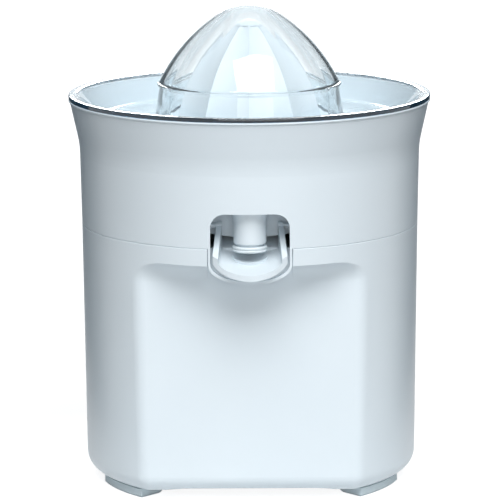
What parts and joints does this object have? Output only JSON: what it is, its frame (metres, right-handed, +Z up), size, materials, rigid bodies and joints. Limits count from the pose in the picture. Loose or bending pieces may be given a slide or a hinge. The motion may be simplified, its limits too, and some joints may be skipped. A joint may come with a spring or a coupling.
{
  "type": "electric citrus press",
  "caption": "Electric citrus press: round white housing with a flat front for a glass, juice bowl with a drip-stop spout, strainer, ribbed reamer and clear domed lid.",
  "frame": {"origin": "on the worktop under the reamer's axis, at the feet", "axes": "+Z up along the reamer axis, -Y to the spout and the glass, +X to the right seen from the front"},
  "size_m": [0.204, 0.204, 0.27],
  "materials": {
    "white_shell": "gloss",
    "clear_cover": "clear, polished",
    "foot_rubber": "matt",
    "seal_rubber": "matt",
    "pale_silicone": "satin",
    "steel": "zinc plated",
    "light_alloy": "as cast",
    "gear_plastic": "natural",
    "dark_plastic": "matt",
    "copper_wire": "enamelled"
  },
  "bodies": {
    "base": {"lower_housing": "white_shell", "base_plate": "white_shell", "front_right_foot": "foot_rubber", "front_left_foot": "foot_rubber", "rear_right_foot": "foot_rubber", "rear_left_foot": "foot_rubber", "base_screws": "steel", "tower_bush": "gear_plastic", "tower_seal": "seal_rubber", "lower_bush": "gear_plastic", "thrust_washer": "steel", "idler_pin": "steel", "gearbox_plate": "dark_plastic", "gearbox_screws": "steel", "stator_core": "steel", "coil_bobbin": "dark_plastic", "stator_coil": "copper_wire", "lower_bridge": "light_alloy", "upper_bridge": "light_alloy", "motor_spacers": "light_alloy", "motor_screws": "steel", "switch_bracket": "steel", "switch_body": "dark_plastic", "cord_gland": "dark_plastic", "terminal_block": "dark_plastic"},
    "output_gear": {"output_gear": "gear_plastic", "return_spring": "steel"},
    "idler": {"idler_gear": "gear_plastic"},
    "rotor": {"rotor": "steel", "rotor_shaft": "steel", "motor_pinion": "gear_plastic"},
    "spindle": {"drive_spindle": "steel"},
    "reamer": {"reamer": "white_shell"},
    "juice_bowl": {"juice_bowl": "white_shell", "outlet_seal": "pale_silicone", "strainer": "white_shell"},
    "spout_flap": {"spout_flap": "white_shell"},
    "lid": {"lid": "clear_cover", "lid_dome": "clear_cover"},
    "switch_lever": {"switch_lever": "dark_plastic"}
  },
  "joints": [
    {"name": "reamer_spin", "type": "hinge", "parent": "base", "child": "output_gear", "pos_m": [0, 0, 0.13], "axis": [0, 0, 1], "continuous": true},
    {"name": "idler_spin", "type": "hinge", "parent": "base", "child": "idler", "pos_m": [0.02507, 0.02988, 0.13], "axis": [0, 0, 1], "continuous": true},
    {"name": "rotor_spin", "type": "hinge", "parent": "base", "child": "rotor", "pos_m": [-0.00453, 0.04065, 0.1], "axis": [0, 0, 1], "continuous": true},
    {"name": "spindle_press", "type": "slide", "parent": "output_gear", "child": "spindle", "axis": [0, 0, -1], "range_m": [0, 0.0025], "stiffness_N_per_m": 2500, "springref_m": -0.002, "deforming": ["return_spring"]},
    {"name": "switch_tilt", "type": "hinge", "parent": "base", "child": "switch_lever", "pos_m": [-0.015, 0, 0.115], "axis": [0, 1, 0], "range_deg": [0, 10.6]},
    {"name": "bowl_lift", "type": "slide", "parent": "base", "child": "juice_bowl", "axis": [0, 0, 1], "range_m": [0, 0.11]},
    {"name": "reamer_lift", "type": "slide", "parent": "spindle", "child": "reamer", "axis": [0, 0, 1], "range_m": [0, 0.11]},
    {"name": "lid_lift", "type": "slide", "parent": "juice_bowl", "child": "lid", "axis": [0, 0, 1], "range_m": [0, 0.09]},
    {"name": "spout_lift", "type": "hinge", "parent": "juice_bowl", "child": "spout_flap", "pos_m": [0, -0.07, 0.1555], "axis": [-1, 0, 0], "range_deg": [0, 15]}
  ],
  "couplings": [
    {"joint": "idler_spin", "follows": "reamer_spin", "ratio": -5.5},
    {"joint": "rotor_spin", "follows": "reamer_spin", "ratio": 33},
    {"joint": "switch_tilt", "follows": "spindle_press", "rad_per_m": 73.3},
    {"joint": "reamer_lift", "follows": "bowl_lift", "ratio": 1}
  ]
}
